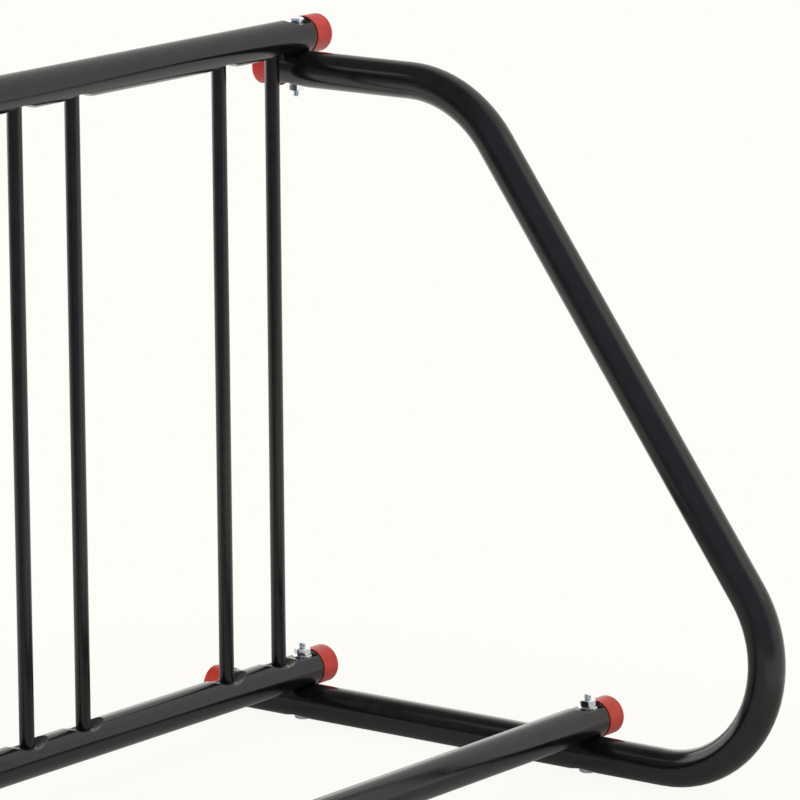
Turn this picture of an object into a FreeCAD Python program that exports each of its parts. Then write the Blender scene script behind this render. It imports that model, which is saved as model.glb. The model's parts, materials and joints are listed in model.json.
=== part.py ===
import FreeCAD, Part
import math
import os

# Grid bicycle rack in millimetres. X runs along the rails, Y from front to back and Z up.
# The origin is the middle of the rack's base, on the floor.

os.makedirs("parts", exist_ok=True)

Vec = FreeCAD.Vector
AXIS_X = Vec(1, 0, 0)
AXIS_Y = Vec(0, 1, 0)
AXIS_Z = Vec(0, 0, 1)

# Tubes and bars
tube_diameter = 42.4
tube_wall = 2.0
bar_diameter = 17.2
bar_wall = 2.0

# Grid of upright bars, set in close pairs with a wheel slot between the two bars of a pair
pair_count = 5
pair_pitch = 355.0
slot_width = 80.0
end_pair_to_hoop = 93.3
rail_tail = 39.5  # from the hoop's middle plane to the rail's end

# Hoop, measured from the plane of the grid to the corners of its centreline
leg_rise = 750.6
front_rail_reach = 410.8
upper_corner_reach = 240.4
lower_corner_reach = 785.1
upper_bend_radius = 147.0
lower_bend_radius = 136.0
upper_leg_tail = 46.2
lower_leg_tail = 131.4

# Crossings, where a rail lies in a saddle pressed into the leg below it
saddle_depth = 5.9
saddle_clearance = 0.2

# Seats pressed into the tube walls: depths at the flat floor, and slopes of the walls in degrees
bar_seat_depth = 9.0
washer_seat_depth = 5.2
top_head_seat_depth = 5.8
foot_head_seat_depth = 5.3
seat_slope = 25.0
seat_blend = 4.0
seat_margin = 0.3
rim_radius = 1.5

# Seats across the rails at the bolts, which end in a steep wall beside the cap
end_wall_slope = 60.0
end_wall_blend = 1.6
washer_seat_stretch = 5.2  # longer on the side of the bars
weld_leg = 2.0

# Caps
cap_length = 27.5
cap_wall = 0.9
cap_floor = 2.5
cap_rounding = 3.0
cap_clearance = 0.1

# Bolts, washers and nuts
bolt_diameter = 10.0
bolt_length = 85.0
bolt_tip_chamfer = 1.0
head_flats = 17.0
head_height = 6.4
nut_flats = 17.0
nut_height = 8.0
nut_turn = 20.0
hex_chamfer_angle = 30.0
thread_clearance = 0.1
washer_diameter = 23.0
washer_thickness = 2.0
hole_clearance = 0.5

# Values worked out from the dimensions above
tube_radius = tube_diameter / 2
bore_radius = tube_radius - tube_wall
bar_radius = bar_diameter / 2
bolt_radius = bolt_diameter / 2
hole_radius = bolt_radius + hole_clearance
head_corner_radius = head_flats / math.sqrt(3)
overrun = tube_diameter
on_surface = 0.001

bar_pair_spacing = slot_width + bar_diameter
hoop_x = pair_pitch * (pair_count - 1) / 2 + end_pair_to_hoop
rail_half_length = hoop_x + rail_tail

lower_leg_z = head_height - foot_head_seat_depth + tube_radius
upper_leg_z = lower_leg_z + leg_rise
crossing_rise = tube_diameter - saddle_depth
low_rail_z = lower_leg_z + crossing_rise
top_rail_z = upper_leg_z + crossing_rise

diagonal_angle = math.atan2(leg_rise, lower_corner_reach - upper_corner_reach)
lower_bend_tangent = lower_bend_radius * math.tan((math.pi - diagonal_angle) / 2)
front_extent = lower_corner_reach - lower_bend_tangent + lower_bend_radius + tube_radius
back_extent = lower_leg_tail + cap_floor
grid_y = (front_extent - back_extent) / 2
front_rail_y = grid_y - front_rail_reach


def export(node, shape):
    """Write one node's file and print its size."""
    shape.exportStep(f"parts/{node}.step")
    print(f"{node}: {len(shape.Solids)} solids, {len(shape.Faces)} faces, volume {shape.Volume:.0f}")


def along_x(radius, half_length):
    """Cylinder along X, centred on the origin."""
    return Part.makeCylinder(radius, 2 * half_length, Vec(-half_length, 0, 0), AXIS_X)


def revolved(outline):
    """Solid made by turning a closed outline in the XZ plane about Z."""
    return Part.Face(Part.Wire(outline)).revolve(Vec(0, 0, 0), AXIS_Z, 360)


def polyline(points):
    """Straight edges through the points, in order."""
    return [Part.makeLine(start, end) for start, end in zip(points, points[1:])]


def placed(shape, x, y, z, upside_down=False):
    """Copy of a shape, turned over about X if asked, then moved."""
    copy = shape.copy()
    if upside_down:
        copy.rotate(Vec(0, 0, 0), AXIS_X, 180)
    copy.translate(Vec(x, y, z))
    return copy


def blend_step(radius, angle):
    """Way from the start of a floor's blend to the point where it has turned up by an angle."""
    return Vec(radius * math.sin(angle), 0, radius * (1 - math.cos(angle)))


def wall_from(floor_end, way, blend, slope):
    """Middle and end of the blend that turns a floor's end up into a sloping wall, and the wall's top."""
    angle = math.radians(slope)
    middle = blend_step(blend, angle / 2)
    end = blend_step(blend, angle)
    rise = overrun - floor_end.z - end.z
    top = end + Vec(rise / math.tan(angle), 0, rise)
    return [floor_end + Vec(way * step.x, 0, step.z) for step in (middle, end, top)]


def dish(depth, floor_radius, blend):
    """Solid dish below z = 0, with the space above it: a flat floor, a blend and a sloping wall."""
    floor_middle = Vec(0, 0, -depth)
    floor_edge = Vec(floor_radius, 0, -depth)
    blend_middle, blend_end, wall_top = wall_from(floor_edge, 1, blend, seat_slope)
    outline = [
        Part.makeLine(floor_middle, floor_edge),
        Part.Arc(floor_edge, blend_middle, blend_end).toShape(),
    ]
    outline += polyline([blend_end, wall_top, Vec(0, 0, wall_top.z), floor_middle])
    return revolved(outline)


def trough(depth, inner_reach, outer_reach, thickness):
    """Solid trough right across a rail below z = 0, with the space above it, steep towards +X."""
    inner_edge = Vec(-inner_reach, -overrun, -depth - thickness)
    outer_edge = Vec(outer_reach, -overrun, -depth - thickness)
    inner_middle, inner_end, inner_top = wall_from(inner_edge, -1, seat_blend + thickness, seat_slope)
    outer_middle, outer_end, outer_top = wall_from(outer_edge, 1, end_wall_blend + thickness, end_wall_slope)
    outline = [
        Part.makeLine(inner_edge, outer_edge),
        Part.Arc(outer_edge, outer_middle, outer_end).toShape(),
    ]
    outline += polyline([outer_end, outer_top, inner_top, inner_end])
    outline.append(Part.Arc(inner_end, inner_middle, inner_edge).toShape())
    return Part.Face(Part.Wire(outline)).extrude(Vec(0, 2 * overrun, 0))


def seat(depth, held_radius):
    """Round seat as two tools: one for the tube's outside and one a wall deeper for its bore."""
    floor_radius = held_radius + seat_margin
    outside = dish(depth, floor_radius, seat_blend)
    inside = dish(depth + tube_wall, floor_radius, seat_blend + tube_wall)
    return outside, inside


def end_seat(depth, held_radius, stretch):
    """Seat across a rail's end, as tools for the tube's outside and for its bore."""
    reach = held_radius + seat_margin
    outside = trough(depth, reach + stretch, reach, 0)
    inside = trough(depth, reach + stretch, reach, tube_wall)
    return outside, inside


def bar_seat():
    """Seat for the end of an upright bar and its weld."""
    return seat(bar_seat_depth, bar_radius + weld_leg)


def washer_seat():
    """Round seat for the washer under a nut."""
    return seat(washer_seat_depth, washer_diameter / 2)


def head_seat(depth):
    """Round seat for a bolt's head, as wide as the head's corners."""
    return seat(depth, head_corner_radius)


def saddle():
    """Saddle for a crossing rail, as two cylinders with the lower one's bottom line at z = 0."""
    radius = tube_radius + saddle_clearance
    outside = placed(along_x(radius, overrun), 0, 0, radius)
    inside = placed(along_x(radius + tube_wall, overrun), 0, 0, radius)
    return outside, inside


def is_rim(edge, faces, axis_point, axis_way):
    """True for an edge round a pressed place: on the tube's outside, between two faces, not square."""
    steps = [point - axis_point for point in edge.discretize(5)]
    along = [step.dot(axis_way) for step in steps]
    on_tube = all(abs(step.cross(axis_way).Length - tube_radius) < on_surface for step in steps)
    not_square = max(along) - min(along) > on_surface
    return on_tube and not_square and not any(edge.isSeam(face) for face in faces)


def is_crest(faces):
    """True for the faces of two seats that run into each other: one wall is a cone and one is flat."""
    kinds = [type(face.Surface) for face in faces]
    return Part.Cone in kinds and Part.Plane in kinds


def pressed_tube(outer, bore, presses, axes, joints):
    """Tube with places pressed in, their rims rounded, and holes drilled for the bolts.

    A press is (outside and inside tool, place, upside_down), an axis is (point, way) of a
    straight stretch, and a joint is a point on the tube's axis.
    """
    outer = outer.cut([placed(tools[0], *place, upside_down) for tools, place, upside_down in presses])
    bore = bore.cut([placed(tools[1], *place, upside_down) for tools, place, upside_down in presses])
    rims = []
    for edge in outer.Edges:
        faces = outer.ancestorsOfType(edge, Part.Face)
        if is_crest(faces) or any(is_rim(edge, faces, point, way) for point, way in axes):
            rims.append(edge)
    tube = outer.makeFillet(rim_radius, rims).cut(bore)
    holes = [
        placed(Part.makeCylinder(hole_radius, 2 * tube_diameter), x, y, z - tube_diameter)
        for x, y, z in joints
    ]
    return tube.cut(holes)


def bar_places():
    """X of every upright bar, from left to right."""
    places = []
    for pair in range(pair_count):
        middle = (pair - (pair_count - 1) / 2) * pair_pitch
        places.append(middle - bar_pair_spacing / 2)
        places.append(middle + bar_pair_spacing / 2)
    return places


def rail(y, z, presses):
    """Straight rail along X, open at both ends, bolted to both hoops."""
    outer = placed(along_x(tube_radius, rail_half_length), 0, y, z)
    bore = placed(along_x(bore_radius, rail_half_length + overrun), 0, y, z)
    joints = [(-hoop_x, y, z), (hoop_x, y, z)]
    return pressed_tube(outer, bore, presses, [(Vec(0, y, z), AXIS_X)], joints)


def at_hoops(tools, y, z):
    """The same press at the right hoop and, turned round, at the left hoop."""
    turned = [tool.copy() for tool in tools]
    for tool in turned:
        tool.rotate(Vec(0, 0, 0), AXIS_Z, 180)
    return [(turned, (-hoop_x, y, z), False), (tools, (hoop_x, y, z), False)]


def at_bars(z, upside_down):
    """A seat for every upright bar."""
    return [(bar_seat(), (x, grid_y, z), upside_down) for x in bar_places()]


def top_rail():
    """Top rail, with bar seats below and seats for bolt heads above."""
    presses = at_bars(top_rail_z - tube_radius, True)
    head_tools = end_seat(top_head_seat_depth, head_corner_radius, 0)
    presses += at_hoops(head_tools, grid_y, top_rail_z + tube_radius)
    return rail(grid_y, top_rail_z, presses)


def bottom_rail():
    """Bottom rail of the grid, with bar seats and washer seats above."""
    presses = at_bars(low_rail_z + tube_radius, False)
    washer_tools = end_seat(washer_seat_depth, washer_diameter / 2, washer_seat_stretch)
    presses += at_hoops(washer_tools, grid_y, low_rail_z + tube_radius)
    return rail(grid_y, low_rail_z, presses)


def front_rail():
    """Front rail, with washer seats above."""
    washer_tools = end_seat(washer_seat_depth, washer_diameter / 2, washer_seat_stretch)
    presses = at_hoops(washer_tools, front_rail_y, low_rail_z + tube_radius)
    return rail(front_rail_y, low_rail_z, presses)


def corner_bend(before, corner, after, radius):
    """Start, middle and end of the arc that rounds a corner of the hoop's centreline."""
    back = (before - corner).normalize()
    ahead = (after - corner).normalize()
    half_angle = back.getAngle(ahead) / 2
    tangent = radius / math.tan(half_angle)
    bisector = (back + ahead).normalize()
    centre = corner + bisector * (radius / math.sin(half_angle))
    return corner + back * tangent, centre - bisector * radius, corner + ahead * tangent


def hoop_form(x, radius, extra):
    """Round solid along the hoop's centreline, longer by extra at both ends."""
    start = Vec(x, grid_y + upper_leg_tail + extra, upper_leg_z)
    upper_corner = Vec(x, grid_y - upper_corner_reach, upper_leg_z)
    lower_corner = Vec(x, grid_y - lower_corner_reach, lower_leg_z)
    end = Vec(x, grid_y + lower_leg_tail + extra, lower_leg_z)
    upper_bend = corner_bend(start, upper_corner, lower_corner, upper_bend_radius)
    lower_bend = corner_bend(upper_corner, lower_corner, end, lower_bend_radius)
    centreline = Part.Wire(
        [
            Part.makeLine(start, upper_bend[0]),
            Part.Arc(*upper_bend).toShape(),
            Part.makeLine(upper_bend[2], lower_bend[0]),
            Part.Arc(*lower_bend).toShape(),
            Part.makeLine(lower_bend[2], end),
        ]
    )
    section = Part.Wire(Part.makeCircle(radius, start, Vec(0, -1, 0)))
    return centreline.makePipeShell([section], True, False)


def hoop(x):
    """End hoop of the rack: short upper leg, diagonal and long lower leg in one bent tube."""
    foot_z = lower_leg_z - tube_radius
    presses = [
        (washer_seat(), (x, grid_y, upper_leg_z - tube_radius), True),
        (head_seat(foot_head_seat_depth), (x, grid_y, foot_z), True),
        (head_seat(foot_head_seat_depth), (x, front_rail_y, foot_z), True),
        (saddle(), (x, grid_y, top_rail_z - tube_radius), False),
        (saddle(), (x, grid_y, low_rail_z - tube_radius), False),
        (saddle(), (x, front_rail_y, low_rail_z - tube_radius), False),
    ]
    axes = [(Vec(x, 0, upper_leg_z), AXIS_Y), (Vec(x, 0, lower_leg_z), AXIS_Y)]
    joints = [(x, grid_y, upper_leg_z), (x, grid_y, lower_leg_z), (x, front_rail_y, lower_leg_z)]
    outer = hoop_form(x, tube_radius, 0)
    bore = hoop_form(x, bore_radius, overrun)
    return pressed_tube(outer, bore, presses, axes, joints)


def upright_bar(x):
    """Upright bar between the grid's rails, with a weld fillet round each end."""
    foot = low_rail_z + tube_radius - bar_seat_depth
    length = top_rail_z - tube_radius + bar_seat_depth - foot
    inner = bar_radius - bar_wall
    outline = polyline(
        [
            Vec(inner, 0, 0),
            Vec(bar_radius + weld_leg, 0, 0),
            Vec(bar_radius, 0, weld_leg),
            Vec(bar_radius, 0, length - weld_leg),
            Vec(bar_radius + weld_leg, 0, length),
            Vec(inner, 0, length),
            Vec(inner, 0, 0),
        ]
    )
    return placed(revolved(outline), x, grid_y, foot)


def cap():
    """Slip-on cap that opens downwards, with the tube's end resting on z = 0."""
    outer = tube_radius + cap_wall
    bore = tube_radius + cap_clearance
    mouth = cap_floor - cap_length
    crown = Vec(outer - cap_rounding, 0, cap_floor)
    shoulder = Vec(outer, 0, cap_floor - cap_rounding)
    inset = cap_rounding * (1 - math.sqrt(0.5))
    round_middle = Vec(outer - inset, 0, cap_floor - inset)
    outline = [
        Part.makeLine(Vec(0, 0, cap_floor), crown),
        Part.Arc(crown, round_middle, shoulder).toShape(),
    ]
    outline += polyline(
        [
            shoulder,
            Vec(outer, 0, mouth),
            Vec(bore, 0, mouth),
            Vec(bore, 0, 0),
            Vec(0, 0, 0),
            Vec(0, 0, cap_floor),
        ]
    )
    return revolved(outline)


def cap_on(x, y, z, direction):
    """Cap on a tube's end at a point, facing the given way."""
    turned = cap()
    turned.Placement = FreeCAD.Placement(Vec(x, y, z), FreeCAD.Rotation(AXIS_Z, direction))
    return turned


def hexagon(flats, height):
    """Hexagonal prism on z = 0 with two flats facing along Y."""
    corner = flats / math.sqrt(3)
    turns = [math.radians(60 * number) for number in range(7)]
    points = [Vec(corner * math.cos(turn), corner * math.sin(turn), 0) for turn in turns]
    return Part.Face(Part.makePolygon(points)).extrude(Vec(0, 0, height))


def chamfer_cone(flats, height):
    """Cone over a hexagon's upper face that starts at the middle of each flat."""
    reach = flats / 2 + height / math.tan(math.radians(hex_chamfer_angle))
    outline = polyline(
        [
            Vec(0, 0, height),
            Vec(flats / 2, 0, height),
            Vec(reach, 0, 0),
            Vec(0, 0, 0),
            Vec(0, 0, height),
        ]
    )
    return revolved(outline)


def hex_body(flats, height, both_ends):
    """Hexagon with chamfered corners on its upper face, or on both faces."""
    body = hexagon(flats, height).common(chamfer_cone(flats, height))
    if both_ends:
        body = body.common(placed(chamfer_cone(flats, height), 0, 0, height, True))
    return body


def bolt():
    """Bolt with its head above z = 0 and its shank below."""
    head = hex_body(head_flats, head_height, False)
    shank = Part.makeCylinder(bolt_radius, bolt_length, Vec(0, 0, -bolt_length))
    tip = [edge for edge in shank.Edges if edge.BoundBox.ZMax < bolt_tip_chamfer - bolt_length]
    shank = shank.makeChamfer(bolt_tip_chamfer, tip)
    return head.fuse(shank).removeSplitter()


def washer():
    """Flat washer on z = 0."""
    disc = Part.makeCylinder(washer_diameter / 2, washer_thickness)
    return disc.cut(Part.makeCylinder(hole_radius, washer_thickness))


def nut():
    """Hexagon nut on z = 0."""
    body = hex_body(nut_flats, nut_height, True)
    body.rotate(Vec(0, 0, 0), AXIS_Z, nut_turn)
    return body.cut(Part.makeCylinder(bolt_radius + thread_clearance, nut_height))


def joint_levels():
    """Each joint as (y, z of the head's seat, z of the washer's seat, head_is_below)."""
    top_head = top_rail_z + tube_radius - top_head_seat_depth
    top_washer = upper_leg_z - tube_radius + washer_seat_depth
    foot_head = lower_leg_z - tube_radius + foot_head_seat_depth
    low_washer = low_rail_z + tube_radius - washer_seat_depth
    return [
        (grid_y, top_head, top_washer, False),
        (grid_y, foot_head, low_washer, True),
        (front_rail_y, foot_head, low_washer, True),
    ]


def fasteners():
    """All bolts, all washers and all nuts, as three groups of separate solids."""
    bolts = []
    washers = []
    nuts = []
    for x in (-hoop_x, hoop_x):
        for y, head_z, washer_z, head_is_below in joint_levels():
            nut_way = 1 if head_is_below else -1
            bolts.append(placed(bolt(), x, y, head_z, head_is_below))
            washers.append(placed(washer(), x, y, washer_z, not head_is_below))
            nuts.append(placed(nut(), x, y, washer_z + nut_way * washer_thickness, not head_is_below))
    return Part.makeCompound(bolts), Part.makeCompound(washers), Part.makeCompound(nuts)


def main():
    export("top_rail", top_rail())
    export("bottom_rail", bottom_rail())
    export("front_rail", front_rail())
    for side, x in (("left", -hoop_x), ("right", hoop_x)):
        export(f"{side}_hoop", hoop(x))
        export(f"{side}_hoop_upper_cap", cap_on(x, grid_y + upper_leg_tail, upper_leg_z, Vec(0, 1, 0)))
        export(f"{side}_hoop_lower_cap", cap_on(x, grid_y + lower_leg_tail, lower_leg_z, Vec(0, 1, 0)))
    for side, way in (("left", -1), ("right", 1)):
        end = way * rail_half_length
        for rail_name, y, z in (
            ("top_rail", grid_y, top_rail_z),
            ("bottom_rail", grid_y, low_rail_z),
            ("front_rail", front_rail_y, low_rail_z),
        ):
            export(f"{rail_name}_{side}_cap", cap_on(end, y, z, Vec(way, 0, 0)))
    for number, x in enumerate(bar_places(), 1):
        export(f"upright_bar_{number:02d}", upright_bar(x))
    bolts, washers, nuts = fasteners()
    export("bolts", bolts)
    export("washers", washers)
    export("nuts", nuts)


main()
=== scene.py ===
import json
import math

import bpy
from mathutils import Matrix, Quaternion, Vector


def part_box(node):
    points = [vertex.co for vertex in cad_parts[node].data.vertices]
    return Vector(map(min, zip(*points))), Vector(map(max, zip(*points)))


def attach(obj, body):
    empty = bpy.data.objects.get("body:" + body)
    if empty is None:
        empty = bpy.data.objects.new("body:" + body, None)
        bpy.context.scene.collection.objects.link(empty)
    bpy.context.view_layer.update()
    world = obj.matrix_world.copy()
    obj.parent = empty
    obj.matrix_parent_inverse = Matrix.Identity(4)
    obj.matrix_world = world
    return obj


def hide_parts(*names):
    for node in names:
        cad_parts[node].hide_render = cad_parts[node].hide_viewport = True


# Grid bicycle rack: black powder-coated tubes, red vinyl caps and zinc-plated bolts, in metres.

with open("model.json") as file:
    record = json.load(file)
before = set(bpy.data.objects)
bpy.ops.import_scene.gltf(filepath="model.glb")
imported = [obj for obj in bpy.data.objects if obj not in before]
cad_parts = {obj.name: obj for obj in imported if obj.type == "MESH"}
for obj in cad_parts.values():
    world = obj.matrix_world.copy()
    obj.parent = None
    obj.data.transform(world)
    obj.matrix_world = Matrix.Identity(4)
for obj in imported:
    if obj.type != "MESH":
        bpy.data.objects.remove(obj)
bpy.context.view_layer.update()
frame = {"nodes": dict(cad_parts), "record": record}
rackParts = frame["nodes"]
print("frame loaded,", len(rackParts), "parts")


# Helpers for modelling.

def selectOnly(piece):
    bpy.ops.object.select_all(action="DESELECT")
    piece.select_set(True)
    bpy.context.view_layer.objects.active = piece


def useModifier(piece, kind, settings):
    selectOnly(piece)
    modifier = piece.modifiers.new(kind.lower(), kind)
    for name, value in settings.items():
        setattr(modifier, name, value)
    bpy.ops.object.modifier_apply(modifier=modifier.name)


def cutWith(piece, cutter, operation):
    useModifier(piece, "BOOLEAN", {"operation": operation, "solver": "EXACT", "object": cutter})
    bpy.data.objects.remove(cutter)


def openWith(piece, kind, wanted):            # edit mode with only the wanted verts, edges or faces picked
    selectOnly(piece)
    bpy.ops.object.mode_set(mode="EDIT")
    bpy.ops.mesh.select_mode(type=kind)
    bpy.ops.mesh.select_all(action="DESELECT")
    bpy.ops.object.mode_set(mode="OBJECT")
    mesh = piece.data
    for item in {"VERT": mesh.vertices, "EDGE": mesh.edges, "FACE": mesh.polygons}[kind]:
        item.select = wanted(item)
    bpy.ops.object.mode_set(mode="EDIT")


def closeEdit():
    bpy.ops.object.mode_set(mode="OBJECT")


def bakePlace(piece):
    selectOnly(piece)
    bpy.ops.object.transform_apply(location=True, rotation=True, scale=True)


def named(name):                              # the primitive just added, under its own name
    piece = bpy.context.object
    piece.name = name
    piece.data.name = name
    bakePlace(piece)
    return piece


def smoothUpTo(piece, angle):                 # edges that turn by more than the angle stay sharp
    selectOnly(piece)
    bpy.ops.object.shade_smooth_by_angle(angle=math.radians(angle))


def middleOf(node):
    low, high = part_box(node)
    return (low + high) / 2


def copyTo(master, name, place, turn=0.0, upsideDown=False):
    copy = master.copy()
    copy.data = master.data.copy()
    copy.name = name
    copy.data.name = name
    bpy.context.collection.objects.link(copy)
    spin = Quaternion((0, 0, 1), math.radians(turn))
    if upsideDown:
        spin = Quaternion((1, 0, 0), math.pi) @ spin
    copy.rotation_mode = "QUATERNION"
    copy.rotation_quaternion = spin
    copy.location = place
    bakePlace(copy)
    return copy


# Helpers for shaders.

class Wire:                                   # a node's output, on which sums can be written
    def __init__(self, sheet, socket):
        self.sheet = sheet
        self.socket = socket

    def math(self, operation, first, second):
        return self.sheet.add("ShaderNodeMath", {"operation": operation}, {0: first, 1: second})

    def __add__(self, other):
        return self.math("ADD", self, other)

    def __radd__(self, other):
        return self.math("ADD", other, self)

    def __sub__(self, other):
        return self.math("SUBTRACT", self, other)

    def __rsub__(self, other):
        return self.math("SUBTRACT", other, self)

    def __mul__(self, other):
        return self.math("MULTIPLY", self, other)

    def __rmul__(self, other):
        return self.math("MULTIPLY", other, self)


nodeStep = (220, 260)                         # how far apart the nodes lie in the editor
nodesInRow = 8


class NodeSheet:                              # the node tree of a material or of the world
    def __init__(self, tree):
        self.tree = tree
        tree.nodes.clear()

    def add(self, kind, settings=None, inputs=None, output=0):
        node = self.tree.nodes.new(kind)
        row, column = divmod(len(self.tree.nodes), nodesInRow)
        node.location = (nodeStep[0] * column, -nodeStep[1] * row)
        for name, value in (settings or {}).items():
            setattr(node, name, value)
        for name, value in (inputs or {}).items():
            if isinstance(value, Wire):
                self.tree.links.new(value.socket, node.inputs[name])
            else:
                node.inputs[name].default_value = value
        return Wire(self, node.outputs[output])

    def end(self, kind, shader):
        node = self.tree.nodes.new(kind)
        self.tree.links.new(shader.socket, node.inputs["Surface"])

    def vector(self, operation, first, second=(0, 0, 0), output="Vector"):
        return self.add("ShaderNodeVectorMath", {"operation": operation}, {0: first, 1: second}, output)

    def rays(self):                           # what the eye sees directly, and what gloss or glass shows
        eye = self.add("ShaderNodeLightPath", output="Is Camera Ray")
        paths = eye.socket.node.outputs
        return eye, Wire(self, paths["Is Glossy Ray"]) + Wire(self, paths["Is Transmission Ray"])

    def noise(self, place, scale, detail=2.0, roughness=0.5):
        return self.add(
            "ShaderNodeTexNoise",
            {"noise_dimensions": "3D"},
            {"Vector": place, "Scale": scale, "Detail": detail, "Roughness": roughness},
        )

    def ease(self, value, start, end, low=0.0, high=1.0):
        return self.add(
            "ShaderNodeMapRange",
            {"interpolation_type": "SMOOTHSTEP"},
            {"Value": value, "From Min": start, "From Max": end, "To Min": low, "To Max": high},
        )

    def bump(self, height, relief):
        return self.add("ShaderNodeBump", None, {"Height": height, "Strength": 1.0, "Distance": relief})

    def mixColours(self, share, first, second):
        return self.add(
            "ShaderNodeMix",
            {"data_type": "RGBA"},
            {0: share, 6: first, 7: second},
            output=2,
        )


def newMaterial(name):
    material = bpy.data.materials.new(name)
    material.use_nodes = True
    return material, NodeSheet(material.node_tree)


# Camera, solved from the edges of the tubes in the photograph.

cameraView = {
    "place": (-4.69623, -4.04942, 1.85276),
    "turn": -52.81,                           # degrees about Z, where 0 looks along +Y
    "down": 11.89,                            # degrees below the horizon
    "roll": -0.42,
    "focalLength": 276.25,
    "sensor": 36,
    "shift": (-0.000625, 0.000625),           # half a pixel, from pixel centres to pixel corners
    "near": 0.5,
    "far": 60,
}


def addCamera():
    bpy.ops.object.camera_add(location=cameraView["place"])
    camera = bpy.context.object
    camera.name = "photoCamera"
    aboutZ = Quaternion((0, 0, 1), math.radians(cameraView["turn"]))
    tilt = Quaternion((1, 0, 0), math.radians(90 - cameraView["down"]))
    roll = Quaternion((0, 0, 1), math.radians(cameraView["roll"]))
    camera.rotation_mode = "QUATERNION"
    camera.rotation_quaternion = aboutZ @ tilt @ roll
    camera.data.sensor_width = cameraView["sensor"]
    camera.data.lens = cameraView["focalLength"]
    camera.data.shift_x, camera.data.shift_y = cameraView["shift"]
    camera.data.clip_start = cameraView["near"]
    camera.data.clip_end = cameraView["far"]
    bpy.context.scene.camera = camera


# Studio: white sweep and floor, a white side on the right and a dim room on the left.

studio = {
    "paper": (0.991, 0.982, 0.939, 1),        # ivory white of floor and backdrop
    "whiteSide": (0.90, 0.875, 0.85, 1),      # the lit side, right of the rack
    "whiteWay": (0.966, -0.259, 0),
    "whiteEase": (0.0, 0.55),                 # where the white side starts and where it is full
    "paperInWhite": 0.5,                      # how far reflections see the white side as paper
    "roomFront": (0.36, 0.375, 0.47, 1),      # dim room on the photographer's side
    "roomBack": (0.17, 0.165, 0.16, 1),       # dim room behind on the left
    "backWay": (0, 1.0, 0.6),
    "roomEase": (0.45, 0.15),                 # from the back room to the front room
    "floorSize": 30,
    "mattPaper": (0.90, 0.885, 0.85, 1),      # the floor as it is lit and as it lights the rack
    "footprint": (0.85, 0.40, 0),             # half the rack's length and depth
    "fadeEnd": 0.45,                          # how far from the footprint the shaded floor ends
    "paperShare": 0.95,                       # how far the eye sees plain paper there, not shading
    "paintedShadowPaper": (0.28, 0.275, 0.27, 1),    # painted shadow: the floor under the rack glows this dark in reflections
    "mirroredShare": 0.5,                     # how far reflections near the rack see that painted shadow
    "paintedDimPaper": (0.30, 0.30, 0.31, 1),        # painted shade: the floor further away on the left glows this dim in reflections
    "dimWay": (1.0, 0.3, 0),
    "dimEase": (-1.4, 0.1),
}

softboxes = {
    "overheadSoftbox": {
        "place": (0.45, -0.1, 3.2), "aim": (0.45, -0.1, 0), "size": (2.0, 1.2), "glow": 3.0,
        "mirrored": False,
    },
    "frontSoftbox": {
        "place": (1.75, -1.95, 2.1), "aim": (0.8, -0.2, 0.5), "size": (1.4, 1.4), "glow": 0.35,
    },
    "lowSoftbox": {
        "place": (2.6, 1.35, 0.72), "aim": (0.6, 0.0, 0.1), "size": (1.5, 1.1), "glow": 0.65,
    },
    "backWindow": {                           # the highlight inside the lower bend
        "place": (0.08, 4.46, 1.48), "aim": (0.79, -0.3, 0.06), "size": (4.4, 3.0), "glow": 1.9,
        "matt": False,
    },
    "smallBackLight": {                       # the thin line of light along the legs
        "place": (-0.3, 1.17, 1.6), "aim": (0.79, -0.05, 0.4), "size": (0.3, 0.3), "glow": 0.9,
    },
    "backFill": {
        "place": (-2.6, 2.0, 2.0), "aim": (0.8, 0.3, 0.4), "size": (2.0, 2.0), "glow": 3.6,
        "mirrored": False,
    },
    "softFill": {
        "place": (-2.4, -2.6, 1.6), "aim": (0.5, 0.0, 0.4), "size": (2.6, 2.6), "glow": 2.6,
        "mirrored": False,
    },
}


def addWorld():
    world = bpy.data.worlds.new("studioRoom")
    bpy.context.scene.world = world
    world.use_nodes = True
    sheet = NodeSheet(world.node_tree)
    way = sheet.add("ShaderNodeTexCoord", output="Generated")
    towardsWhite = sheet.vector("DOT_PRODUCT", way, studio["whiteWay"], output="Value")
    whiteShare = sheet.ease(towardsWhite, *studio["whiteEase"])
    towardsBack = sheet.vector("DOT_PRODUCT", way, studio["backWay"], output="Value")
    frontShare = sheet.ease(towardsBack, *studio["roomEase"])
    room = sheet.mixColours(frontShare, studio["roomBack"], studio["roomFront"])
    light = sheet.mixColours(whiteShare, room, studio["whiteSide"])
    lit = sheet.add("ShaderNodeBackground", None, {"Color": light, "Strength": 1.0})
    paper = sheet.add("ShaderNodeBackground", None, {"Color": studio["paper"], "Strength": 1.0})
    eye, mirrored = sheet.rays()
    seen = eye + mirrored * whiteShare * studio["paperInWhite"]
    both = sheet.add("ShaderNodeMixShader", None, {0: seen, 1: lit, 2: paper})
    sheet.end("ShaderNodeOutputWorld", both)


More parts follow.
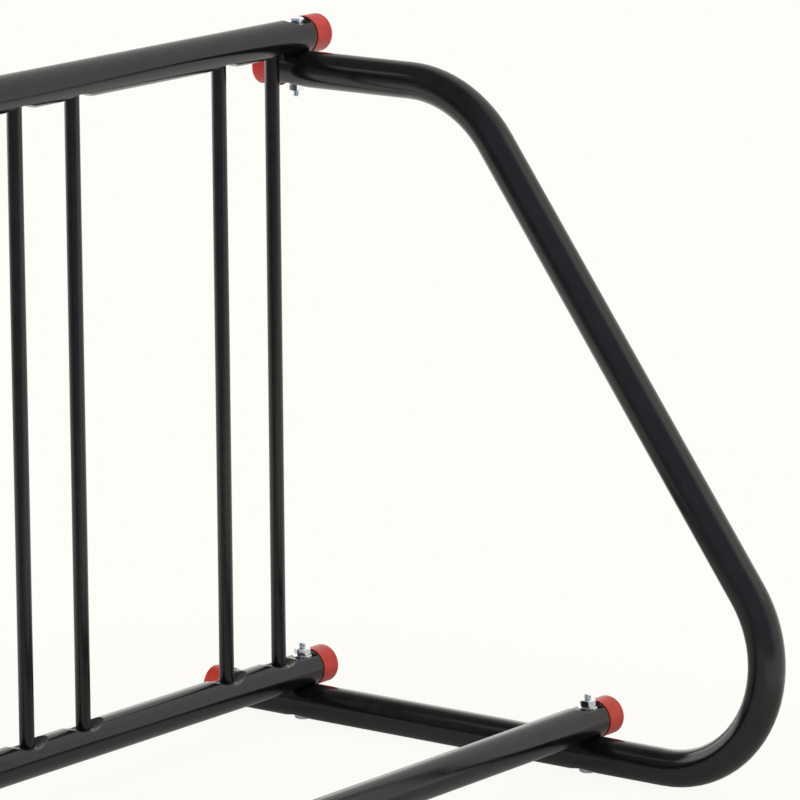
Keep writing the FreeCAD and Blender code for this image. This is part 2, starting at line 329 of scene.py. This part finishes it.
def addFloor():
    bpy.ops.mesh.primitive_plane_add(size=studio["floorSize"], location=(0, 0, 0))
    floor = bpy.context.object
    floor.name = "paperFloor"
    material, sheet = newMaterial("ivoryPaper")
    place = sheet.add("ShaderNodeTexCoord", output="Object")
    matt = sheet.add("ShaderNodeBsdfDiffuse", None, {"Color": studio["mattPaper"]})
    plain = sheet.add("ShaderNodeEmission", None, {"Color": studio["paper"], "Strength": 1.0})
    folded = sheet.vector("ABSOLUTE", place)
    beyond = sheet.vector("MAXIMUM", sheet.vector("SUBTRACT", folded, studio["footprint"]), (0, 0, 0))
    distance = sheet.vector("LENGTH", beyond, output="Value")
    # Painted shade: in reflections the floor glows dimmer towards the left.
    across = sheet.vector("DOT_PRODUCT", place, studio["dimWay"], output="Value")
    paintedLightShare = sheet.ease(across, *studio["dimEase"])
    away = sheet.ease(distance, 0.0, studio["fadeEnd"])
    paintedFloorColour = sheet.mixColours(paintedLightShare, studio["paintedDimPaper"], studio["paper"])
    # Painted shadow: near the rack, reflections see the floor glow dark.
    paintedFloorColour = sheet.mixColours(away, studio["paintedShadowPaper"], paintedFloorColour)
    # Painted light: in reflections the floor glows with these painted colours instead of being lit.
    paintedFloorGlow = sheet.add("ShaderNodeEmission", None, {"Color": paintedFloorColour, "Strength": 1.0})
    eye, mirrored = sheet.rays()
    eyeShare = eye * sheet.ease(distance, 0.0, studio["fadeEnd"], studio["paperShare"], 1.0)
    mirroredShare = mirrored * sheet.ease(distance, 0.0, studio["fadeEnd"], studio["mirroredShare"], 1.0)
    lit = sheet.add("ShaderNodeMixShader", None, {0: mirroredShare, 1: matt, 2: paintedFloorGlow})
    both = sheet.add("ShaderNodeMixShader", None, {0: eyeShare, 1: lit, 2: plain})
    sheet.end("ShaderNodeOutputMaterial", both)
    floor.data.materials.append(material)


def addSoftbox(name, spec):                   # glow is how bright the lamp's face is, where 1 is white
    bpy.ops.object.light_add(type="AREA", location=spec["place"])
    lamp = bpy.context.object
    lamp.name = name
    width, height = spec["size"]
    lamp.data.shape = "RECTANGLE"
    lamp.data.size = width
    lamp.data.size_y = height
    lamp.data.energy = spec["glow"] * math.pi * width * height
    lamp.rotation_mode = "QUATERNION"
    lamp.rotation_quaternion = (Vector(spec["aim"]) - Vector(spec["place"])).to_track_quat("-Z", "Y")
    lamp.visible_camera = False
    lamp.visible_glossy = spec.get("mirrored", True)
    lamp.visible_diffuse = spec.get("matt", True)


bpy.context.scene.view_settings.view_transform = "Standard"
addCamera()
addWorld()
addFloor()
for boxName, boxSpec in softboxes.items():
    addSoftbox(boxName, boxSpec)
print("camera, floor and light")


# Black powder coat, as on all tubes and bars.

powderCoat = {
    "darkest": (0.0035, 0.0035, 0.0037, 1),
    "lightest": (0.0065, 0.0064, 0.0062, 1),
    "gloss": 0.17,
    "peelScale": 620,                         # bumps of about 1.6 mm, like fine orange peel
    "peelDetail": 1.0,
    "waveScale": 45,
    "waveEase": (0.3, 0.7),
    "gritScale": 2600,
    "gritDetail": 0.0,
    "gritEase": (0.70, 0.80),                 # only the highest grains show
    "roughens": {"wave": 0.06, "peel": 0.03, "grit": 0.12},
    "raises": {"wave": 0.9, "peel": 0.8, "grit": 0.25},
    "relief": 0.00002,
}


def makePowderCoat():
    material, sheet = newMaterial("blackPowderCoat")
    place = sheet.add("ShaderNodeTexCoord", output="Object")
    peel = sheet.noise(place, powderCoat["peelScale"], powderCoat["peelDetail"])
    wave = sheet.noise(place, powderCoat["waveScale"])
    grains = sheet.noise(place, powderCoat["gritScale"], powderCoat["gritDetail"])
    grit = sheet.ease(grains, *powderCoat["gritEase"])
    shade = sheet.ease(wave, *powderCoat["waveEase"])
    colour = sheet.mixColours(shade, powderCoat["darkest"], powderCoat["lightest"])
    roughens = powderCoat["roughens"]
    roughness = powderCoat["gloss"] + (wave - 0.5) * roughens["wave"]
    roughness = roughness + (peel - 0.5) * roughens["peel"] + grit * roughens["grit"]
    raises = powderCoat["raises"]
    height = peel * raises["peel"] + wave * raises["wave"] + grit * raises["grit"]
    bump = sheet.bump(height, powderCoat["relief"])
    paint = sheet.add(
        "ShaderNodeBsdfPrincipled",
        None,
        {"Base Color": colour, "Roughness": roughness, "Normal": bump, "IOR": 1.5},
    )
    sheet.end("ShaderNodeOutputMaterial", paint)
    return material


# Red dipped vinyl of the caps.

redVinyl = {
    "deep": (0.48, 0.015, 0.006, 1),
    "paintedLightShare": (0.58, 0.028, 0.011, 1),
    "gloss": 0.40,
    "grainScale": 900,
    "lumpScale": 70,
    "streakScale": 280,
    "stretch": 5.0,                           # how much finer the streaks are along the cap than round it
    "shades": {"lump": 0.6, "streak": 0.4},
    "shadeEase": (0.35, 0.65),
    "roughens": {"streak": 0.2, "grain": 0.12},
    "raises": {"lump": 1.6, "streak": 0.5, "grain": 0.12},
    "relief": 0.00012,
}


def makeRedVinyl(name, stretch):
    material, sheet = newMaterial(name)
    place = sheet.add("ShaderNodeTexCoord", output="Object")
    drawn = sheet.add("ShaderNodeMapping", None, {"Vector": place, "Scale": stretch})
    streak = sheet.noise(drawn, redVinyl["streakScale"])
    lump = sheet.noise(place, redVinyl["lumpScale"])
    grain = sheet.noise(place, redVinyl["grainScale"])
    shades = redVinyl["shades"]
    shade = sheet.ease(lump * shades["lump"] + streak * shades["streak"], *redVinyl["shadeEase"])
    colour = sheet.mixColours(shade, redVinyl["deep"], redVinyl["paintedLightShare"])
    roughens = redVinyl["roughens"]
    roughness = redVinyl["gloss"] + (streak - 0.5) * roughens["streak"]
    roughness = roughness + (grain - 0.5) * roughens["grain"]
    raises = redVinyl["raises"]
    height = lump * raises["lump"] + streak * raises["streak"] + grain * raises["grain"]
    bump = sheet.bump(height, redVinyl["relief"])
    vinyl = sheet.add(
        "ShaderNodeBsdfPrincipled",
        None,
        {"Base Color": colour, "Roughness": roughness, "Normal": bump, "IOR": 1.5},
    )
    sheet.end("ShaderNodeOutputMaterial", vinyl)
    return material


# Zinc plating of bolts, nuts and washers.

zincPlate = {
    "boltBlue": (0.73, 0.85, 0.91, 1),        # the bolts are plated bluer than the nuts and washers
    "boltPale": (0.88, 0.95, 0.96, 1),
    "nutBlue": (0.80, 0.85, 0.89, 1),
    "nutPale": (0.95, 0.95, 0.93, 1),
    "gloss": 0.13,
    "detail": 3.0,
    "cloudScale": 380,
    "cloudEase": (0.35, 0.65),
    "scratchScale": 260,
    "scratchRoughness": 0.7,
    "stretch": (6.0, 1.0, 1.0),
    "roughens": {"cloud": 0.18, "scratch": 0.10},
    "raises": {"cloud": 0.5, "scratch": 0.5},
    "relief": 0.000012,
}


def makeZincPlate(name, blue, pale):
    material, sheet = newMaterial(name)
    place = sheet.add("ShaderNodeTexCoord", output="Object")
    cloud = sheet.noise(place, zincPlate["cloudScale"], zincPlate["detail"])
    drawn = sheet.add("ShaderNodeMapping", None, {"Vector": place, "Scale": zincPlate["stretch"]})
    fineness = (zincPlate["scratchScale"], zincPlate["detail"], zincPlate["scratchRoughness"])
    scratch = sheet.noise(drawn, *fineness)
    shade = sheet.ease(cloud, *zincPlate["cloudEase"])
    colour = sheet.mixColours(shade, blue, pale)
    roughens = zincPlate["roughens"]
    roughness = zincPlate["gloss"] + (cloud - 0.5) * roughens["cloud"]
    roughness = roughness + (scratch - 0.5) * roughens["scratch"]
    raises = zincPlate["raises"]
    height = cloud * raises["cloud"] + scratch * raises["scratch"]
    bump = sheet.bump(height, zincPlate["relief"])
    zinc = sheet.add(
        "ShaderNodeBsdfPrincipled",
        None,
        {"Base Color": colour, "Roughness": roughness, "Metallic": 1.0, "Normal": bump},
    )
    sheet.end("ShaderNodeOutputMaterial", zinc)
    return material


blackCoat = makePowderCoat()
redAlongX = makeRedVinyl("redVinylAlongRails", (redVinyl["stretch"], 1.0, 1.0))
redAlongY = makeRedVinyl("redVinylAlongLegs", (1.0, redVinyl["stretch"], 1.0))
zincOnBolts = makeZincPlate("zincOnBolts", zincPlate["boltBlue"], zincPlate["boltPale"])
zincOnNuts = makeZincPlate("zincOnNuts", zincPlate["nutBlue"], zincPlate["nutPale"])


def dressRack():
    finishes = {}
    for part in frame["record"]["subparts"]:
        finishes[part["node"]] = part["material_slot"]
    for name, part in rackParts.items():
        if finishes[name] == "black_powder_coat":
            finish = blackCoat
        elif name == "bolts":
            finish = zincOnBolts
        elif finishes[name] == "zinc_plated_steel":
            finish = zincOnNuts
        elif "hoop" in name:
            finish = redAlongY
        else:
            finish = redAlongX
        for materialSlot in part.material_slots:
            materialSlot.material = finish


dressRack()
print("finishes on the frame's parts")


def finishPiece(piece, finish, node=None):
    piece.data.materials.clear()
    piece.data.materials.append(finish)
    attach(piece, "root")
    if node:
        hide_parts(node)


# What all turned and cut metal shares.

roundMetal = {
    "sides": 64,                              # round shanks and bores
    "finer": 96,                              # the cone that cuts the corners of a hexagon
    "sharpFrom": 15,                          # degrees
    "breakFrom": 25,                          # edges that turn by more are broken
    "breakSteps": 2,
    "chamfer": 30,                            # degrees between the corners' cut and the flat face
    "spare": 0.001,                           # how far the cutting cone stands out
}


# Bolt with a chamfered head, a plain shank and a cut thread with a rounded tip.

hexBolt = {
    "flats": 0.017,
    "headHeight": 0.0064,
    "crown": 0.0160,                          # round face that the chamfer leaves on the head
    "shank": 0.0099,
    "length": 0.085,
    "threadLength": 0.026,
    "pitch": 0.0015,
    "threadDepth": 0.00085,
    "flank": 0.3125,                          # shares of the pitch
    "crest": 0.125,
    "root": 0.25,
    "turns": 21,
    "turnsBelow": 2,                          # turns that start below the tip
    "cutOff": (1.5, 0.5),                     # turns cut off at the lower and the upper end
    "stepsInTurn": 32,
    "sameSpot": 0.000005,                     # points nearer than this are one point
    "tipSpare": 0.0002,                       # how far the tip's form stands off the thread
    "tipRound": 0.0027,
    "tipSteps": 6,
    "shankEnd": 0.0004,                       # how far the plain shank reaches into the thread, narrowing
    "edge": 0.00015,
}
nearEnough = 0.0001                           # how near a face or edge has to be to its place
flatEnough = 0.9                              # how far the normal of a flat face points along Z


def addHexagon(name, flats, height):
    bpy.ops.mesh.primitive_cylinder_add(
        vertices=6, radius=flats / math.sqrt(3), depth=height, location=(0, 0, height / 2)
    )
    return named(name)


def chamferHexagon(piece, crown, height, upper):
    slope = 1 / math.tan(math.radians(roundMetal["chamfer"]))
    spare = roundMetal["spare"]
    nearRadius = crown / 2 - spare * slope
    farRadius = crown / 2 + (height + spare) * slope
    low, high = (farRadius, nearRadius) if upper else (nearRadius, farRadius)
    bpy.ops.mesh.primitive_cone_add(
        vertices=roundMetal["finer"],
        radius1=low,
        radius2=high,
        depth=height + 2 * spare,
        location=(0, 0, height / 2),
    )
    cutWith(piece, named("chamferCone"), "INTERSECT")


def breakEdges(piece, width):
    limit = {"limit_method": "ANGLE", "angle_limit": math.radians(roundMetal["breakFrom"])}
    useModifier(piece, "BEVEL", {"width": width, "segments": roundMetal["breakSteps"], **limit})


def makeThread():                             # one tooth drawn point by point, then screwed round Z
    pitch = hexBolt["pitch"]
    depth = hexBolt["threadDepth"]
    flank = hexBolt["flank"]
    rootRadius = hexBolt["shank"] / 2 - depth
    start = -hexBolt["length"] - hexBolt["turnsBelow"] * pitch
    bpy.ops.mesh.primitive_plane_add(size=0.001, location=(0, 0, 0))
    thread = named("boltThread")
    openWith(thread, "VERT", lambda vertex: True)
    bpy.ops.mesh.merge(type="CENTER")
    bpy.ops.transform.translate(value=(rootRadius, 0, start))
    for across, along in ((depth, flank), (0, hexBolt["crest"]), (-depth, flank), (0, hexBolt["root"])):
        bpy.ops.mesh.extrude_vertices_move(TRANSFORM_OT_translate={"value": (across, 0, along * pitch)})
    closeEdit()
    turns = {"angle": 2 * math.pi, "screw_offset": pitch, "iterations": hexBolt["turns"], "axis": "Z"}
    steps = {"steps": hexBolt["stepsInTurn"], "render_steps": hexBolt["stepsInTurn"]}
    useModifier(thread, "SCREW", {**turns, **steps, "use_normal_calculate": True})
    openWith(thread, "VERT", lambda vertex: True)
    bpy.ops.mesh.remove_doubles(threshold=hexBolt["sameSpot"])
    end = start + hexBolt["turns"] * pitch
    cutLow, cutHigh = hexBolt["cutOff"]
    for height, way in ((start + cutLow * pitch, -1), (end - cutHigh * pitch, 1)):
        bpy.ops.mesh.select_all(action="SELECT")
        bpy.ops.mesh.bisect(plane_co=(0, 0, height), plane_no=(0, 0, way), use_fill=True, clear_outer=True)
    bpy.ops.mesh.select_all(action="SELECT")
    bpy.ops.mesh.normals_make_consistent(inside=False)
    closeEdit()
    return thread


def makeTipForm():                            # what the thread is cut down to, rounded at the tip
    length = hexBolt["threadLength"]
    low = -hexBolt["length"]
    bpy.ops.mesh.primitive_cylinder_add(
        vertices=roundMetal["sides"],
        radius=hexBolt["shank"] / 2 + hexBolt["tipSpare"],
        depth=length,
        location=(0, 0, low + length / 2),
    )
    tip = named("tipForm")
    openWith(tip, "FACE", lambda face: face.center.z < low + nearEnough)
    bpy.ops.mesh.bevel(offset=hexBolt["tipRound"], segments=hexBolt["tipSteps"], affect="EDGES")
    closeEdit()
    return tip


def makeBolt():
    bolt = addHexagon("hexBolt", hexBolt["flats"], hexBolt["headHeight"])
    chamferHexagon(bolt, hexBolt["crown"], hexBolt["headHeight"], True)
    breakEdges(bolt, hexBolt["edge"])
    top = hexBolt["headHeight"] / 2
    bottom = hexBolt["threadLength"] - hexBolt["length"] - hexBolt["shankEnd"]
    bpy.ops.mesh.primitive_cylinder_add(
        vertices=roundMetal["sides"],
        radius=hexBolt["shank"] / 2,
        depth=top - bottom,
        location=(0, 0, (top + bottom) / 2),
    )
    shank = named("boltShank")
    openWith(shank, "FACE", lambda face: face.center.z < bottom + nearEnough)
    bpy.ops.mesh.bevel(offset=hexBolt["shankEnd"], segments=1, affect="EDGES")
    closeEdit()
    thread = makeThread()
    cutWith(thread, makeTipForm(), "INTERSECT")
    cutWith(shank, thread, "UNION")
    cutWith(bolt, shank, "UNION")
    smoothUpTo(bolt, roundMetal["sharpFrom"])
    return bolt


# Nut with chamfered corners at both ends and a countersunk bore.

hexNut = {
    "flats": 0.017,
    "height": 0.008,
    "crown": 0.0158,
    "bore": 0.0088,
    "mouth": 0.0108,
    "edge": 0.00015,
}


def makeNut():
    height = hexNut["height"]
    nut = addHexagon("hexNut", hexNut["flats"], height)
    chamferHexagon(nut, hexNut["crown"], height, True)
    chamferHexagon(nut, hexNut["crown"], height, False)
    bpy.ops.mesh.primitive_cylinder_add(
        vertices=roundMetal["sides"],
        radius=hexNut["bore"] / 2,
        depth=2 * height,
        location=(0, 0, height / 2),
    )
    cutWith(nut, named("boreForm"), "DIFFERENCE")

    def onMouth(edge):
        ends = [nut.data.vertices[number].co for number in edge.vertices]
        near = all(end.xy.length < hexNut["bore"] / 2 + nearEnough for end in ends)
        level = abs(ends[0].z - ends[1].z) < nearEnough
        return near and level

    openWith(nut, "EDGE", onMouth)
    bpy.ops.mesh.bevel(offset=(hexNut["mouth"] - hexNut["bore"]) / 2, segments=1, affect="EDGES")
    closeEdit()
    breakEdges(nut, hexNut["edge"])
    smoothUpTo(nut, roundMetal["sharpFrom"])
    return nut


# Punched washer with rounded edges.

flatWasher = {"width": 0.023, "hole": 0.011, "thickness": 0.002, "edge": 0.0003, "sides": 72}


def makeWasher():
    thickness = flatWasher["thickness"]
    bpy.ops.mesh.primitive_cylinder_add(
        vertices=flatWasher["sides"],
        radius=flatWasher["width"] / 2,
        depth=thickness,
        location=(0, 0, thickness / 2),
    )
    washer = named("flatWasher")
    openWith(washer, "FACE", lambda face: abs(face.normal.z) > flatEnough)
    bpy.ops.mesh.inset(thickness=(flatWasher["width"] - flatWasher["hole"]) / 2)
    bpy.ops.mesh.bridge_edge_loops()
    closeEdit()
    breakEdges(washer, flatWasher["edge"])
    smoothUpTo(washer, roundMetal["sharpFrom"])
    return washer


# The six bolted joints. A corner is the way to one corner of the hexagon, in degrees from +X.

rackJoints = {
    "TopRight": {"hoop": "right_hoop", "rail": "top_rail", "headCorner": 7, "nutCorner": 43},
    "FootRight": {"hoop": "right_hoop", "rail": "bottom_rail", "headCorner": 7, "nutCorner": 59},
    "FrontRight": {"hoop": "right_hoop", "rail": "front_rail", "headCorner": 7, "nutCorner": 42},
    "TopLeft": {"hoop": "left_hoop", "rail": "top_rail", "headCorner": 34, "nutCorner": 15},
    "FootLeft": {"hoop": "left_hoop", "rail": "bottom_rail", "headCorner": 52, "nutCorner": 26},
    "FrontLeft": {"hoop": "left_hoop", "rail": "front_rail", "headCorner": 19, "nutCorner": 48},
}
firstCorner = 30                              # where a new hexagon has a corner


def cornerTurn(corner, upsideDown):
    return -corner - firstCorner if upsideDown else corner - firstCorner


def boltJoints():
    masters = {"bolt": makeBolt(), "nut": makeNut(), "washer": makeWasher()}
    boltLow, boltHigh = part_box("bolts")
    washerLow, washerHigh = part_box("washers")
    nutLow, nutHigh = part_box("nuts")
    head = hexBolt["headHeight"]
    for name, joint in rackJoints.items():
        x = middleOf(joint["hoop"]).x
        y = middleOf(joint["rail"]).y
        onTop = joint["rail"] == "top_rail"   # at the top the head is above and the nut below
        boltZ = boltHigh.z - head if onTop else boltLow.z + head
        washerZ = washerHigh.z if onTop else washerLow.z
        nutZ = nutHigh.z if onTop else nutLow.z
        headTurn = cornerTurn(joint["headCorner"], not onTop)
        nutTurn = cornerTurn(joint["nutCorner"], onTop)
        bolt = copyTo(masters["bolt"], "bolt" + name, (x, y, boltZ), headTurn, not onTop)
        washer = copyTo(masters["washer"], "washer" + name, (x, y, washerZ), nutTurn, onTop)
        nut = copyTo(masters["nut"], "nut" + name, (x, y, nutZ), nutTurn, onTop)
        finishPiece(bolt, zincOnBolts, "bolts")
        finishPiece(washer, zincOnNuts, "washers")
        finishPiece(nut, zincOnNuts, "nuts")
    for master in masters.values():
        bpy.data.objects.remove(master)


boltJoints()
print("bolts, washers and nuts")


# Rippled weld bead round each end of an upright bar, under the powder coat.

weldBead = {
    "ring": 0.0092,                           # radius of the bead's middle line
    "thickness": 0.0015,
    "sides": 8,
    "ripples": 36,
    "ripple": 0.0002,
    "turn": 47,                               # degrees from one bead to the next, so that none look alike
}


def makeWeldBead():
    bpy.ops.mesh.primitive_torus_add(
        major_radius=weldBead["ring"],
        minor_radius=weldBead["thickness"],
        major_segments=2 * weldBead["ripples"],
        minor_segments=weldBead["sides"],
    )
    bead = named("weldBead")
    step = math.pi / weldBead["ripples"]
    openWith(bead, "VERT", lambda vertex: round(math.atan2(vertex.co.y, vertex.co.x) / step) % 2 == 0)
    bpy.ops.transform.shrink_fatten(value=weldBead["ripple"])
    closeEdit()
    useModifier(bead, "SUBSURF", {"levels": 1, "render_levels": 1})
    selectOnly(bead)
    bpy.ops.object.shade_smooth()
    return bead


def weldBars():
    master = makeWeldBead()
    count = 0
    for node in sorted(rackParts):
        if not node.startswith("upright_bar"):
            continue
        low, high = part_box(node)
        middle = middleOf(node)
        for end, z in (("Foot", low.z), ("Top", high.z)):
            count += 1
            place = (middle.x, middle.y, z)
            turn = weldBead["turn"] * count
            bead = copyTo(master, "weld" + end + node[-2:], place, turn, end == "Top")
            finishPiece(bead, blackCoat)
    bpy.data.objects.remove(master)


weldBars()
print("weld beads")


print("scene built")
